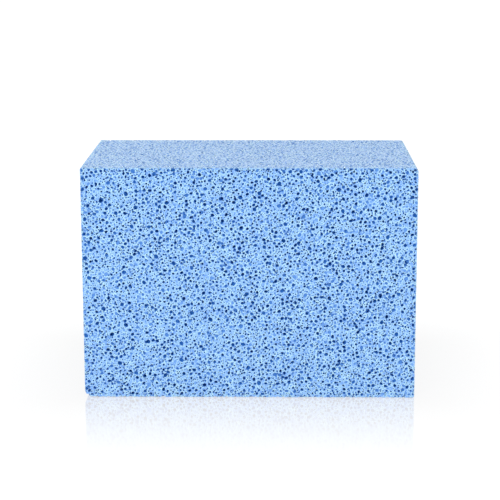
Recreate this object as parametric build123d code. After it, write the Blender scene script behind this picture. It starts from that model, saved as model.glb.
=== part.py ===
"""Grouting sponge: one block of open-cell hydrophilic foam, standing on a long narrow face.

The block is a single piece of foam with nothing inside it and nothing fixed to it. It is used bare
in the hand to wipe tile joints. Its pores are a surface texture and are left out of this solid,
which gives the outer shape, the flat faces and the rounding of the edges.

Frame: millimetres, +Z up. X runs along the long side, Y through the thickness, with the wide wiping
faces at -Y and +Y. The origin is at the centre of the face that the block stands on.
"""

from build123d import *

import os

# Driving dimensions
LENGTH = 160.0  # X
THICKNESS = 90.0  # Y
HEIGHT = 113.0  # Z

CUT_EDGE_RADIUS = 0.8  # the light rounding that a hot wire or a saw leaves on soft foam
SOFT_EDGE_RADIUS = 2.0  # the upper edge on the right-hand end, a little softer
WORN_EDGE_RADIUS = 3.8  # the lower edge on the left-hand end, rounded by handling


def end_edges(block, x, z):
    """The edges through the thickness that lie at the end x and the height z."""
    return [
        edge
        for edge in block.edges().filter_by(Axis.Y)
        if abs(edge.center().X - x) < 1e-6 and abs(edge.center().Z - z) < 1e-6
    ]


def foam_block():
    """The sponge: a box whose four edges through the thickness are rounded by their own amounts,
    and whose rims around the two wiping faces have the light rounding of the cut."""
    half = LENGTH / 2
    block = Box(LENGTH, THICKNESS, HEIGHT, align=(Align.CENTER, Align.CENTER, Align.MIN))
    for x, z, radius in (
        (-half, 0, WORN_EDGE_RADIUS),
        (half, HEIGHT, SOFT_EDGE_RADIUS),
        (half, 0, CUT_EDGE_RADIUS),
        (-half, HEIGHT, CUT_EDGE_RADIUS),
    ):
        block = fillet(end_edges(block, x, z), radius)
    for side in (-1, 1):
        face = block.faces().sort_by(Axis.Y)[0 if side < 0 else -1]
        block = fillet(face.edges(), CUT_EDGE_RADIUS)
    return block


def export(node, shape):
    shape.label = node
    export_step(shape, f"parts/{node}.step")


os.makedirs("parts", exist_ok=True)
export("foam_block", foam_block())
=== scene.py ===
import math

import bpy
import numpy as np
from mathutils import Matrix, Vector


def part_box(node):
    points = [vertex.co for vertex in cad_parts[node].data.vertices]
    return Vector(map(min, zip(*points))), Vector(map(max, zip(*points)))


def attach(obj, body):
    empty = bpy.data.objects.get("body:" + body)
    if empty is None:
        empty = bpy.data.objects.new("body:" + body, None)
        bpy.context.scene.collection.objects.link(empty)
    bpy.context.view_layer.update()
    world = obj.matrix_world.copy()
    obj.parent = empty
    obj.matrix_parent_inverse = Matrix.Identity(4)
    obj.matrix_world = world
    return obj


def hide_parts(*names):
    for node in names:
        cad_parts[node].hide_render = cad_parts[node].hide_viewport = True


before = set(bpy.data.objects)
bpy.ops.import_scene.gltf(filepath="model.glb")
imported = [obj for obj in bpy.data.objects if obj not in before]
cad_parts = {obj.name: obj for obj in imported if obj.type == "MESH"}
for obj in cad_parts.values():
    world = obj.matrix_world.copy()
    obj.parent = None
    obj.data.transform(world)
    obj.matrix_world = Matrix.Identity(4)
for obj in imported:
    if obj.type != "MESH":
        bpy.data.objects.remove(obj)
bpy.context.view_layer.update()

# The look of a grouting sponge: a block of open-cell foam. Geometry Nodes cut the block and carve its
# pores as hollows, and one foam material colours the web of foam and paints shade into the hollows.
# A fine pore that no point of the surface lies well inside is not pushed in, and shows as painted
# shade alone.
# All sizes are in metres. +X runs along the block, -Y is its front wiping face, and it stands on z = 0.

MM = 0.001
LOWEST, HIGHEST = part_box("foam_block")
LENGTH, THICKNESS, HEIGHT = HIGHEST - LOWEST

# The radii of the block's edges, as the CAD solid has them
CUT_EDGE_RADIUS = 0.8 * MM
SOFT_EDGE_RADIUS = 2.0 * MM
WORN_EDGE_RADIUS = 3.8 * MM
SPACING = 0.32 * MM  # between the points of the cut surface

# The pores, in the order that they are carved. Each kind keeps its own distance apart, and a web of
# foam clear of the kinds before it, except for the share of its pores that may merge with others.
# Lengths are in millimetres, and "tries" is how many points are tried on each square millimetre.
PORES = {
    "Broad": {
        "apart": 8.0,
        "tries": 0.1,
        "narrow": 0.9,
        "wide": 1.2,
        "shallow": 0.3,
        "deep": 1.3,
        "merged": 0.0,
    },
    "Coarse": {
        "apart": 1.75,
        "tries": 1.5,
        "narrow": 0.37,
        "wide": 0.94,
        "shallow": 0.2,
        "deep": 1.6,
        "merged": 0.1,
    },
    "Middling": {
        "apart": 1.2,
        "tries": 1.5,
        "narrow": 0.33,
        "wide": 0.54,
        "shallow": 0.3,
        "deep": 2.0,
        "merged": 0.1,
    },
    "Fine": {
        "apart": 0.85,
        "tries": 3.0,
        "narrow": 0.25,
        "wide": 0.38,
        "shallow": 0.7,
        "deep": 2.8,
        "merged": 0.15,
    },
    "Dimple": {
        "apart": 1.1,
        "tries": 2.0,
        "narrow": 0.4,
        "wide": 0.7,
        "shallow": 0.1,
        "deep": 0.35,
        "merged": 0.5,
    },
}
NOT_A_LENGTH = {"tries": MM**-2, "merged": 1.0}  # how these two turn to metres; the others are lengths
SEED = 5.0
SEEDS_APART = 17  # between one kind of pore and the next
TINY = 1e-9  # keeps a formula from dividing by nothing
WEB = 0.08 * MM  # the least foam between pores of two kinds, unless they merge
PORE_TURN = 2.0 * MM  # how far from an edge of the block the pores begin to lean towards the next face
WOBBLE_LENGTH = 1.3 * MM  # from one wobble of an outline to the next
WOBBLE = 0.45 * MM  # how wide a band the outlines wobble in
OVAL = 0.5  # how much more a squared distance counts along a mouth's narrow way
STEEP = 0.45  # the share of a pore's depth that its wall drops at the rim
DRAWN_IN = 0.47  # how near a rim a point is drawn onto it, in spacings
LEAST_MOUTH = 0.6  # the least mouth that draws points onto its rim, in spacings

# The colours of the foam, from the web between the pores down into them. The pale rims are a painted
# highlight, and the dark cells of the web and the dark pores are painted shade.
RIM = 0.36 * MM  # how far the painted highlight on a pore's rim reaches
SOFT_RIM = 0.15 * MM  # how far the colour takes to turn from web to the pore's painted shade
PORE_WALL = 0.3 * MM  # how far in from the rim a pore has its full painted shade
PALEST_WALL = 0.6  # the painted shade at the rim, as a share of that
CELL = 1.5 * MM  # from one cell of the web to the next
CELL_WALL = 0.3  # how far a cell's wall reaches into it, as a share of CELL
GRAIN = 0.8 * MM  # how fine the cloudy pattern in the web is
SHALLOW_PORE = 0.16 * MM  # a pore as deep as this has all of the painted pore shade
PAINTED_SHEEN_DEPTH = 1.0 * MM  # below this depth a pore has none of the painted sheen
DEEP_PORE = 1.6 * MM  # a pore as deep as this has the darkest painted shade
# The web's colours over its cloudy tone, from the painted shade in its cells up to the painted highlight
# round the pores
WEB_COLOURS = [
    (0.1, (0.18, 0.38, 0.84)),
    (0.45, (0.31, 0.555, 0.99)),
    (0.75, (0.62, 0.95, 1.0)),
]
# The pores' painted shade, from the rim down to the deepest
PAINTED_PORE_SHADE = [
    (0.0, (0.24, 0.46, 0.9)),
    (0.25, (0.115, 0.295, 0.72)),
    (0.55, (0.027, 0.155, 0.51)),
    (1.0, (0.0, 0.065, 0.31)),
]
# The colour of the painted sheen, mixed into the foam where it is seen at a low angle
PAINTED_SHEEN_COLOUR = (0.8, 0.88, 0.92, 1.0)
PAINTED_SHEEN_SHARE = 0.48  # how much of the painted sheen colour the foam has where it is seen at the lowest angles

# The stage
WHITE = (1.0, 1.0, 1.0, 1.0)
SHEET_GLOW = 1.12
SHEET_MATTE = 0.1  # the share of the white sheet that takes shadows
SHEET_MIRROR = 1.9  # how much stronger the sheet mirrors than plain acrylic
MIRROR_REACH = 108 * MM  # how far from the block it still mirrors
FLOOR_HALF = 25.0
ROOM_GLOW = 0.91


# ---------------------------------------------------------------- formulas in node trees


def feed(tree, socket, value):
    """Sets a node's input: a wire where the value is made in the tree, and a constant otherwise."""
    if isinstance(value, Term):
        value = value.socket
    if isinstance(value, bpy.types.NodeSocket):
        tree.links.new(value, socket)
    else:
        socket.default_value = value


def add_node(tree, kind, inputs=None, **settings):
    node = tree.nodes.new(kind)
    for name, value in settings.items():
        setattr(node, name, value)
    for name, value in (inputs or {}).items():
        feed(tree, node.inputs[name], value)
    return node


class Term:
    """A value in a node tree. Arithmetic on it adds Math nodes, so a rule is written as a formula."""

    kind = "ShaderNodeMath"

    def __init__(self, tree, socket):
        self.tree = tree
        self.socket = socket

    def apply(self, operation, *others, made=None, output=0):
        node = add_node(self.tree, self.kind, operation=operation)
        for socket, value in zip(node.inputs, (self, *others)):
            feed(self.tree, socket, value)
        return (made or type(self))(self.tree, node.outputs[output])


class Number(Term):
    """A single value."""

    def __add__(self, other):
        return self.apply("ADD", other)

    def __sub__(self, other):
        return self.apply("SUBTRACT", other)

    def __mul__(self, other):
        return self.apply("MULTIPLY", other)

    def __truediv__(self, other):
        return self.apply("DIVIDE", other)

    def __lt__(self, other):
        return self.apply("LESS_THAN", other)

    def __gt__(self, other):
        return self.apply("GREATER_THAN", other)

    def at_least(self, other):
        return self.apply("MAXIMUM", other)

    def at_most(self, other):
        return self.apply("MINIMUM", other)

    def size(self):
        return self.apply("ABSOLUTE")

    def sign(self):
        return self.apply("SIGN")

    def root(self):
        return self.at_least(0.0).apply("SQRT")

    def rounded(self):
        return self.apply("ROUND")

    def flipped(self):
        """1 becomes 0, and 0 becomes 1."""
        return (self * -1.0) + 1.0

    def between(self, low, high):
        """low where this is 0, high where it is 1."""
        return self * (Number.of(self.tree, high) - low) + low

    @staticmethod
    def of(tree, value):
        if isinstance(value, Number):
            return value
        node = add_node(tree, "ShaderNodeValue")
        node.outputs[0].default_value = value
        return Number(tree, node.outputs[0])


class Arrow(Term):
    """A vector."""

    kind = "ShaderNodeVectorMath"

    def __add__(self, other):
        return self.apply("ADD", other)

    def __sub__(self, other):
        return self.apply("SUBTRACT", other)

    def __mul__(self, number):
        node = add_node(self.tree, self.kind, {"Vector": self, "Scale": number}, operation="SCALE")
        return Arrow(self.tree, node.outputs["Vector"])

    def each_times(self, other):
        return self.apply("MULTIPLY", other)

    def at_least(self, other):
        return self.apply("MAXIMUM", other)

    def at_most(self, other):
        return self.apply("MINIMUM", other)

    def dot(self, other):
        return self.apply("DOT_PRODUCT", other, made=Number, output="Value")

    def length(self):
        return self.apply("LENGTH", made=Number, output="Value")

    def unit(self):
        return self.apply("NORMALIZE")

    def parts(self):
        node = add_node(self.tree, "ShaderNodeSeparateXYZ", {"Vector": self})
        return [Number(self.tree, socket) for socket in node.outputs]

    @staticmethod
    def of(tree, x, y, z):
        return Arrow(tree, add_node(tree, "ShaderNodeCombineXYZ", {"X": x, "Y": y, "Z": z}).outputs[0])


# ---------------------------------------------------------------- the foam's shape


def rounded_block(tree, size, radii):
    """Where a point of a plain box goes on the rounded block, and the way out of the block there.

    The box is centred. Its four edges along Y take their own radii, and all the others the cut's.
    """
    length, thickness, height = size
    cut, soft, worn = radii
    x, y, z = here(tree).parts()
    worn_corner = (x < 0.0) * (z < 0.0)
    soft_corner = (x > 0.0) * (z > 0.0)
    radius = cut + worn_corner * (worn - cut) + soft_corner * (soft - cut)

    # A square corner of the outline is drawn in, ray by ray, to a quarter circle.
    centre_x = length / 2.0 - radius
    centre_z = height / 2.0 - radius
    out_x = x.size() - centre_x
    out_z = z.size() - centre_z
    in_corner = (out_x > 0.0) * (out_z > 0.0)
    ray = (out_x * out_x + out_z * out_z).root().at_least(TINY)
    drawn_in = in_corner.between(1.0, out_x.at_least(out_z) / ray)
    x_now = centre_x + out_x * drawn_in
    z_now = centre_z + out_z * drawn_in

    # The nearest point of a core, smaller all round by the cut's radius. The skin is that far from it.
    reach = (ray * drawn_in).at_least(TINY)
    shorter = ((radius - cut) / reach).at_most(1.0)
    core_x = in_corner.between(x_now.at_most(length / 2.0 - cut), centre_x + out_x * drawn_in * shorter)
    core_z = in_corner.between(z_now.at_most(height / 2.0 - cut), centre_z + out_z * drawn_in * shorter)
    core_y = y.size().at_most(thickness / 2.0 - cut)
    signs = Arrow.of(tree, x.sign(), y.sign(), z.sign())
    skin = Arrow.of(tree, x_now, y.size(), z_now).each_times(signs)
    core = Arrow.of(tree, core_x, core_y, core_z).each_times(signs)
    outward = (skin - core).unit()
    return core + outward * cut, outward


def here(tree):
    """Where the point is now."""
    return Arrow(tree, add_node(tree, "GeometryNodeInputPosition").outputs[0])


def moved(tree, geometry, **inputs):
    """The geometry with its points put at a Position, or moved by an Offset."""
    return add_node(tree, "GeometryNodeSetPosition", {"Geometry": geometry, **inputs}).outputs["Geometry"]


def wobbled(tree, place):
    """A place shifted a little to and fro, so that a round outline about it is uneven."""
    cloudy = {"Vector": place, "Scale": 1 / WOBBLE_LENGTH, "Detail": 2.0}
    shift = Arrow(tree, add_node(tree, "ShaderNodeTexNoise", cloudy).outputs["Color"])
    return place + (shift - (0.5, 0.5, 0.5)) * WOBBLE


def remember(tree, geometry, name, value, kind="FLOAT", domain="POINT"):
    """Keeps a value for every point, or for every face, under a name."""
    node = add_node(
        tree,
        "GeometryNodeStoreNamedAttribute",
        {"Geometry": geometry, "Name": name, "Value": value},
        data_type=kind,
        domain=domain,
    )
    return node.outputs["Geometry"]


def recall(tree, name, kind="FLOAT"):
    """A value that was kept under a name."""
    node = add_node(tree, "GeometryNodeInputNamedAttribute", {"Name": name}, data_type=kind)
    return (Arrow if kind == "FLOAT_VECTOR" else Number)(tree, node.outputs["Attribute"])


def chance(tree, low, high, seed):
    """A random number of its own for every point."""
    # The inputs and the output are picked by number, because the node has one of each name for every kind.
    node = add_node(tree, "FunctionNodeRandomValue", {"Seed": seed, 2: low, 3: high}, data_type="FLOAT")
    return Number(tree, node.outputs[1])


def nearest_pore(tree, cloud, place):
    """Which pore of a kind is nearest to a place."""
    inputs = {"Geometry": cloud, "Sample Position": place}
    return Number(tree, add_node(tree, "GeometryNodeSampleNearest", inputs, domain="POINT").outputs[0])


def pore_data(tree, cloud, index):
    """What that pore is like: its centre, its mouth's radius, its depth and its two directions."""

    def of_it(value, kind, made):
        inputs = {"Geometry": cloud, "Value": value, "Index": index}
        node = add_node(tree, "GeometryNodeSampleIndex", inputs, data_type=kind, domain="POINT")
        return made(tree, node.outputs[0])

    return {
        "centre": of_it(here(tree), "FLOAT_VECTOR", Arrow),
        "mouth": of_it(recall(tree, "mouth"), "FLOAT", Number),
        "depth": of_it(recall(tree, "depth"), "FLOAT", Number),
        "inward": of_it(recall(tree, "inward", "FLOAT_VECTOR"), "FLOAT_VECTOR", Arrow),
        "across": of_it(recall(tree, "across", "FLOAT_VECTOR"), "FLOAT_VECTOR", Arrow),
    }


def scatter(tree, skin, layer, core, earlier, seed):
    """The points where one kind of pore opens, each with its sizes and its directions."""
    spread = add_node(
        tree,
        "GeometryNodeDistributePointsOnFaces",
        {"Mesh": skin, "Distance Min": layer["apart"], "Density Max": layer["tries"], "Seed": seed},
        distribute_method="POISSON",
    )
    cloud = spread.outputs["Points"]
    cloud = remember(tree, cloud, "mouth", chance(tree, layer["narrow"], layer["wide"], seed + 1.0))
    luck = chance(tree, 0.0, 1.0, seed + 2.0)
    depth = luck * (layer["deep"] - layer["shallow"]) + layer["shallow"]
    cloud = remember(tree, cloud, "depth", depth)
    place = here(tree)
    to_core = place.at_least(core["low"]).at_most(core["high"]) - place
    cloud = remember(tree, cloud, "inward", to_core.unit(), "FLOAT_VECTOR")
    wild = Arrow.of(tree, *[chance(tree, -1.0, 1.0, seed + 3.0 + axis) for axis in range(3)])
    inward = recall(tree, "inward", "FLOAT_VECTOR")
    across = (wild - inward * wild.dot(inward)).unit()
    cloud = remember(tree, cloud, "across", across, "FLOAT_VECTOR")
    for other in earlier:
        wider = pore_data(tree, other, nearest_pore(tree, other, here(tree)))
        gap = (wider["centre"] - here(tree)).length()
        crowded = gap < wider["mouth"] + recall(tree, "mouth") + WEB
        merged = chance(tree, 0.0, 1.0, seed + 6.0) < layer["merged"]
        thinned = add_node(
            tree,
            "GeometryNodeDeleteGeometry",
            {"Geometry": cloud, "Selection": crowded * merged.flipped()},
            domain="POINT",
        )
        cloud = thinned.outputs["Geometry"]
    return cloud


def carve(tree, geometry, cloud, name, outward, spacing):
    """Pushes the surface into one kind of pore, and draws the points beside a mouth onto its rim.

    It leaves two values for the colours, which paint shade into the pores and a highlight round their rims:
    how far inside a mouth each point is, and how deep that pore is.
    """
    skin_point = recall(tree, "skin_point", "FLOAT_VECTOR")
    outline_point = wobbled(tree, skin_point)
    geometry = remember(tree, geometry, "pore", nearest_pore(tree, cloud, outline_point), "INT")
    pore = pore_data(tree, cloud, recall(tree, "pore", "INT"))
    from_centre = outline_point - pore["centre"]
    # A mouth is a little oval: distances count for more one way than the other.
    sideways = from_centre.dot(pore["across"])
    off_centre = (from_centre.dot(from_centre) + sideways * sideways * OVAL).root()
    mouth = pore["mouth"]
    inside = off_centre < mouth
    share = off_centre / mouth
    bowl = (Number.of(tree, 1.0) - share * share).root() * (1.0 - STEEP) + STEEP

    # Points on a flat face that no pore has pushed in yet, close beside a rim, are drawn onto it.
    unmoved = (skin_point - here(tree)).length() < spacing * 0.5
    flat_here = outward.dot(pore["inward"]) < -0.999
    near_rim = ((off_centre - mouth).size() < spacing * DRAWN_IN) * (mouth > spacing * LEAST_MOUTH)
    beside_rim = near_rim * flat_here * unmoved
    onto_rim = from_centre * ((mouth - off_centre) / off_centre.at_least(TINY)) * beside_rim
    onto_rim = onto_rim - outward * onto_rim.dot(outward)  # the surface stays flush there
    inward_push = pore["inward"] * (pore["depth"] * bowl * inside)

    geometry = remember(tree, geometry, f"{name}_edge", (mouth - off_centre) * beside_rim.flipped())
    geometry = remember(tree, geometry, f"{name}_depth", pore["depth"])
    geometry = remember(tree, geometry, "push", inward_push, "FLOAT_VECTOR")
    geometry = remember(tree, geometry, "slide", onto_rim, "FLOAT_VECTOR")
    slide = recall(tree, "slide", "FLOAT_VECTOR")
    push = recall(tree, "push", "FLOAT_VECTOR") * (slide.length() < TINY)
    geometry = remember(tree, geometry, "skin_point", skin_point + slide, "FLOAT_VECTOR")
    return moved(tree, geometry, Offset=push + slide)


def foam_tree(sizes, material):
    """The tree that cuts the block and carves its pores. sizes are its inputs and their values."""
    tree = bpy.data.node_groups.new("carved_foam", "GeometryNodeTree")
    tree.interface.new_socket("Geometry", in_out="INPUT", socket_type="NodeSocketGeometry")
    for name in sizes:
        tree.interface.new_socket(name, in_out="INPUT", socket_type="NodeSocketFloat")
    tree.interface.new_socket("Geometry", in_out="OUTPUT", socket_type="NodeSocketGeometry")
    given = add_node(tree, "NodeGroupInput")
    size = {name: Number(tree, given.outputs[name]) for name in sizes}
    block_size = (size["Length"], size["Thickness"], size["Height"])
    spacing = size["Spacing"]

    box = add_node(
        tree,
        "GeometryNodeMeshCube",
        {
            "Size": Arrow.of(tree, *block_size),
            "Vertices X": (block_size[0] / spacing).rounded() + 1.0,
            "Vertices Y": (block_size[1] / spacing).rounded() + 1.0,
            "Vertices Z": (block_size[2] / spacing).rounded() + 1.0,
        },
    )
    box_face = add_node(tree, "GeometryNodeInputNormal").outputs[0]
    geometry = remember(tree, box.outputs["Mesh"], "box_face", box_face, "FLOAT_VECTOR", "FACE")
    radii = (size["Cut Edge Radius"], size["Soft Edge Radius"], size["Worn Edge Radius"])
    place, outward = rounded_block(tree, block_size, radii)
    geometry = remember(tree, geometry, "outward", outward, "FLOAT_VECTOR")
    geometry = remember(tree, geometry, "skin_point", place, "FLOAT_VECTOR")
    geometry = moved(tree, geometry, Position=recall(tree, "skin_point", "FLOAT_VECTOR"))

    core_high = Arrow.of(tree, *[edge / 2.0 - PORE_TURN for edge in block_size])
    core = {"high": core_high, "low": core_high * -1.0}
    outward = recall(tree, "outward", "FLOAT_VECTOR")
    skin = geometry
    clouds = []
    for number, name in enumerate(PORES):
        layer = {key: size[f"{name} {key}"] for key in PORES[name]}
        seed = size["Seed"] + float(SEEDS_APART * number)
        clouds.append(scatter(tree, skin, layer, core, clouds, seed))
    for name, cloud in zip(PORES, clouds):
        geometry = carve(tree, geometry, cloud, name.lower(), outward, spacing)

    geometry = moved(tree, geometry, Offset=Arrow.of(tree, 0.0, 0.0, block_size[2] / 2.0))
    real = add_node(tree, "GeometryNodeRealizeInstances", {"Geometry": geometry}).outputs["Geometry"]
    painted = add_node(tree, "GeometryNodeSetMaterial", {"Geometry": real, "Material": material})
    add_node(tree, "NodeGroupOutput", {"Geometry": painted.outputs["Geometry"]})
    return tree


def carved_sponge(material):
    """The sponge as one plain mesh."""
    sizes = {
        "Length": LENGTH,
        "Thickness": THICKNESS,
        "Height": HEIGHT,
        "Cut Edge Radius": CUT_EDGE_RADIUS,
        "Soft Edge Radius": SOFT_EDGE_RADIUS,
        "Worn Edge Radius": WORN_EDGE_RADIUS,
        "Spacing": SPACING,
        "Seed": SEED,
    }
    for name, layer in PORES.items():
        for key, value in layer.items():
            sizes[f"{name} {key}"] = value * NOT_A_LENGTH.get(key, MM)
    tree = foam_tree(sizes, material)
    maker = bpy.data.objects.new("maker", bpy.data.meshes.new("maker"))
    bpy.context.scene.collection.objects.link(maker)
    modifier = maker.modifiers.new("carved_foam", "NODES")
    modifier.node_group = tree
    for item in tree.interface.items_tree:
        if item.in_out == "INPUT" and item.name in sizes:
            modifier[item.identifier] = sizes[item.name]
    evaluated = maker.evaluated_get(bpy.context.evaluated_depsgraph_get())
    mesh = bpy.data.meshes.new_from_object(evaluated)
    mesh.name = "sponge"
    bpy.data.objects.remove(maker)
    sponge = bpy.data.objects.new("sponge", mesh)
    bpy.context.scene.collection.objects.link(sponge)
    mesh.shade_smooth()
    return sponge


def read_vectors(attribute, count):
    values = np.zeros(count * 3, np.float32)
    attribute.data.foreach_get("vector", values)
    return values.reshape(-1, 3)


def lay_out(mesh):
    """A flat layout of the skin, for a map of its colours: the six faces side by side, all to one scale."""
    gap = 1.0 * MM
    second_column = LENGTH + gap
    second_row = HEIGHT + gap
    third_row = 2 * second_row
    # For each way a face looks: the axes that run across and up, and where its panel starts.
    panels = {
        (1, -1): (0, 2, 0, 0),
        (1, 1): (0, 2, 0, second_row),
        (0, -1): (1, 2, second_column, 0),
        (0, 1): (1, 2, second_column, second_row),
        (2, 1): (0, 1, 0, third_row),
        (2, -1): (0, 1, second_column, third_row),
    }
    width = second_column + LENGTH
    places = read_vectors(mesh.attributes["skin_point"], len(mesh.vertices))
    ways = read_vectors(mesh.attributes["box_face"], len(mesh.polygons))
    corners = np.zeros(len(mesh.loops), np.int32)
    mesh.loops.foreach_get("vertex_index", corners)
    # Every face has four corners.
    faces = np.repeat(np.arange(len(mesh.polygons)), 4)
    lowest = np.array([-LENGTH / 2, -THICKNESS / 2, -HEIGHT / 2])
    flat = np.zeros((len(corners), 2), np.float32)
    for (axis, side), (across, up, left, bottom) in panels.items():
        mine = ways[faces, axis] * side > 0.5
        at = places[corners[mine]] - lowest
        flat[mine, 0] = (at[:, across] + left) / width
        flat[mine, 1] = (at[:, up] + bottom) / width
    layout = mesh.uv_layers.new(name="OFBake")
    layout.data.foreach_set("uv", flat.ravel())


# ---------------------------------------------------------------- materials


def new_material(name):
    material = bpy.data.materials.new(name)
    material.use_nodes = True
    tree = material.node_tree
    tree.nodes.clear()
    return material, tree


def colour_ramp(tree, share, stops):
    """A colour from a number, through the stops: places from 0 to 1, each with its red, green and blue."""
    ramp = add_node(tree, "ShaderNodeValToRGB", {"Fac": share})
    elements = ramp.color_ramp.elements
    for place, _ in stops[1:-1]:
        elements.new(place)
    for element, (place, colour) in zip(elements, stops):
        element.position = place
        element.color = (*colour, 1.0)
    return ramp.outputs["Color"]


def kept_value(tree, name):
    """A value that the carving kept for every point."""
    return Number(tree, add_node(tree, "ShaderNodeAttribute", attribute_name=name).outputs["Fac"])


def grain(tree, wavelength, detail):
    """A cloudy pattern through the foam, from 0 to 1."""
    place = add_node(tree, "ShaderNodeTexCoord").outputs["Object"]
    inputs = {"Vector": place, "Scale": 1 / wavelength, "Detail": detail, "Roughness": 0.6}
    return Number(tree, add_node(tree, "ShaderNodeTexNoise", inputs).outputs[0])


def mix_colours(tree, share, low, high):
    # The sockets are picked by number, because the node has one of each name for every kind.
    return add_node(tree, "ShaderNodeMix", {0: share, 6: low, 7: high}, data_type="RGBA").outputs[2]


def foam_material():
    """Light blue foam: a web of small cells, pale round the pores, and pores bluer the deeper they go. The
    pale rims are a painted highlight, and the dark cells and pores are painted shade.
    """
    material, tree = new_material("light_blue_foam")
    place = Arrow(tree, add_node(tree, "ShaderNodeTexCoord").outputs["Object"])
    cells = {"Vector": wobbled(tree, place), "Scale": 1 / CELL}
    wall = add_node(tree, "ShaderNodeTexVoronoi", cells, feature="DISTANCE_TO_EDGE").outputs["Distance"]
    off_wall = (Number(tree, wall) / CELL_WALL).at_most(1.0)
    cell_colour = add_node(tree, "ShaderNodeTexVoronoi", cells, feature="F1").outputs["Color"]
    cell_tone = Arrow(tree, cell_colour).parts()[0]

    # sunk is the pores' painted shade, more where a pore is deeper and further in from its rim; near_rim is
    # the painted highlight round the rims.
    sunk = Number.of(tree, 0.0)
    near_rim = Number.of(tree, 0.0)
    for name in PORES:
        edge = kept_value(tree, f"{name.lower()}_edge")
        opened = (edge / SOFT_RIM + 0.5).at_least(0.0).at_most(1.0)
        tone = (edge / PORE_WALL).at_least(0.0).at_most(1.0) * (1.0 - PALEST_WALL) + PALEST_WALL
        sunk = sunk + kept_value(tree, f"{name.lower()}_depth") * opened * tone
        near_rim = near_rim.at_least((edge / RIM + 1.0) * opened.flipped())
    # The web is palest round the pores, a painted highlight, and darker inside its cells, a painted shade
    # of their small pits that varies at random from cell to cell.
    web_share = grain(tree, GRAIN, 2.0) * 0.5 + near_rim * 0.6 + (off_wall * cell_tone) * -0.6 + 0.12
    in_hollow = (sunk / SHALLOW_PORE).at_most(1.0)
    web = colour_ramp(tree, web_share, WEB_COLOURS)
    # The pores' painted shade, darker the deeper they are
    hollow = colour_ramp(tree, sunk / DEEP_PORE, PAINTED_PORE_SHADE)
    colour = mix_colours(tree, in_hollow, web, hollow)
    # A painted sheen: the colour turns paler where the surface is seen at a low angle. Deep pores have
    # none.
    facing = Number(tree, add_node(tree, "ShaderNodeLayerWeight", {"Blend": 0.5}).outputs["Facing"])
    painted_sheen = (sunk / PAINTED_SHEEN_DEPTH).at_most(1.0).flipped() * PAINTED_SHEEN_SHARE
    colour = mix_colours(tree, facing * facing * painted_sheen, colour, PAINTED_SHEEN_COLOUR)
    # The cell walls stand a little proud of the cells in the web, and the skin inside a pore is smoother.
    relief = {"Height": web_share * in_hollow.flipped(), "Distance": 0.15 * MM, "Strength": 0.7}
    bump = add_node(tree, "ShaderNodeBump", relief)
    shader = add_node(
        tree,
        "ShaderNodeBsdfPrincipled",
        {
            "Base Color": colour,
            "Roughness": in_hollow * -0.2 + 0.95,
            "Normal": bump.outputs["Normal"],
            "Specular IOR Level": 0.08,
            "Sheen Weight": 0.15,
            "Sheen Roughness": 0.5,
        },
    )
    add_node(tree, "ShaderNodeOutputMaterial", {"Surface": shader.outputs[0]})
    return material


def floor_material():
    """A white acrylic sheet lit from below, which mirrors the foot of the block faintly."""
    material, tree = new_material("white_sheet")
    lit = add_node(tree, "ShaderNodeEmission", {"Color": WHITE, "Strength": SHEET_GLOW})
    matte = add_node(tree, "ShaderNodeBsdfDiffuse", {"Color": (0.9, 0.9, 0.9, 1.0)})
    sheet = add_node(tree, "ShaderNodeMixShader", {0: SHEET_MATTE, 1: lit.outputs[0], 2: matte.outputs[0]})
    gloss = add_node(tree, "ShaderNodeBsdfGlossy", {"Roughness": 0.06})
    fresnel = Number(tree, add_node(tree, "ShaderNodeFresnel", {"IOR": 1.5}).outputs[0])
    place = Arrow(tree, add_node(tree, "ShaderNodeTexCoord").outputs["Object"])
    foot = (LENGTH / 2, THICKNESS / 2, 0.0)
    from_foot = (place - place.at_least([-edge for edge in foot]).at_most(foot)).length()
    nearness = (Number.of(tree, 1.0) - from_foot / MIRROR_REACH).at_least(0.0)
    mirror = (fresnel * nearness * SHEET_MIRROR).at_most(1.0)
    mix = add_node(tree, "ShaderNodeMixShader", {0: mirror, 1: sheet.outputs[0], 2: gloss.outputs[0]})
    add_node(tree, "ShaderNodeOutputMaterial", {"Surface": mix.outputs[0]})
    return material


# ---------------------------------------------------------------- stage, light and camera


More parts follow.
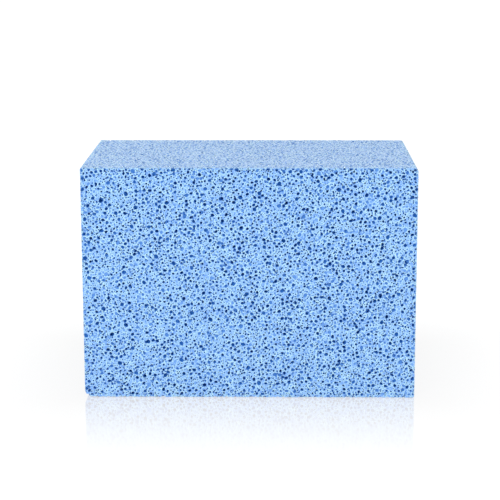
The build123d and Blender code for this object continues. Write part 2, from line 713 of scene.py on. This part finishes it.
def studio_floor():
    corners = [(FLOOR_HALF * x, FLOOR_HALF * y, 0.0) for x, y in ((-1, -1), (1, -1), (1, 1), (-1, 1))]
    mesh = bpy.data.meshes.new("studio_floor")
    mesh.from_pydata(corners, [], [(0, 1, 2, 3)])
    floor = bpy.data.objects.new("studio_floor", mesh)
    bpy.context.scene.collection.objects.link(floor)
    mesh.materials.append(floor_material())


def soft_box(name, place, aim, size, power):
    """A square area light at a place, turned to what it lights."""
    data = bpy.data.lights.new(name, "AREA")
    data.shape = "SQUARE"
    data.size = size
    data.energy = power
    lamp = bpy.data.objects.new(name, data)
    lamp.location = place
    lamp.rotation_euler = (Vector(aim) - Vector(place)).to_track_quat("-Z", "Y").to_euler()
    bpy.context.scene.collection.objects.link(lamp)


def studio_light():
    world = bpy.data.worlds.new("white_room")
    world.use_nodes = True
    background = world.node_tree.nodes["Background"]
    background.inputs["Color"].default_value = WHITE
    background.inputs["Strength"].default_value = ROOM_GLOW
    bpy.context.scene.world = world
    middle = (0, 0, HEIGHT / 2)
    soft_box("front_soft_box", place=(-0.35, -0.9, 0.75), aim=middle, size=0.7, power=3.5)
    bpy.context.scene.view_settings.view_transform = "Standard"


def studio_camera():
    """A long lens a little above the block, almost square to its front face."""
    lens = 110.9
    pitch = math.radians(11.49)
    heading = math.radians(0.99)
    roll = math.radians(-0.12)
    before_centre = 760.9 * MM  # from the block's upright centre line
    above_floor = 233.6 * MM
    aside = -0.3 * MM  # to the right of that line
    data = bpy.data.cameras.new("camera")
    data.lens = lens
    data.sensor_width = 36.0
    data.shift_y = -0.06
    camera = bpy.data.objects.new("camera", data)
    turn = Matrix.Rotation(heading, 4, "Z")
    upright = Matrix.Rotation(math.pi / 2 - pitch, 4, "X")
    place = Matrix.Translation((aside, -before_centre, above_floor))
    camera.matrix_world = turn @ place @ upright @ Matrix.Rotation(roll, 4, "Z")
    bpy.context.scene.collection.objects.link(camera)
    bpy.context.scene.camera = camera


sponge = carved_sponge(foam_material())
lay_out(sponge.data)
for name in ("box_face", "outward", "skin_point", "pore", "push", "slide"):
    sponge.data.attributes.remove(sponge.data.attributes[name])
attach(sponge, "root")
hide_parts("foam_block")

studio_floor()
studio_light()
studio_camera()
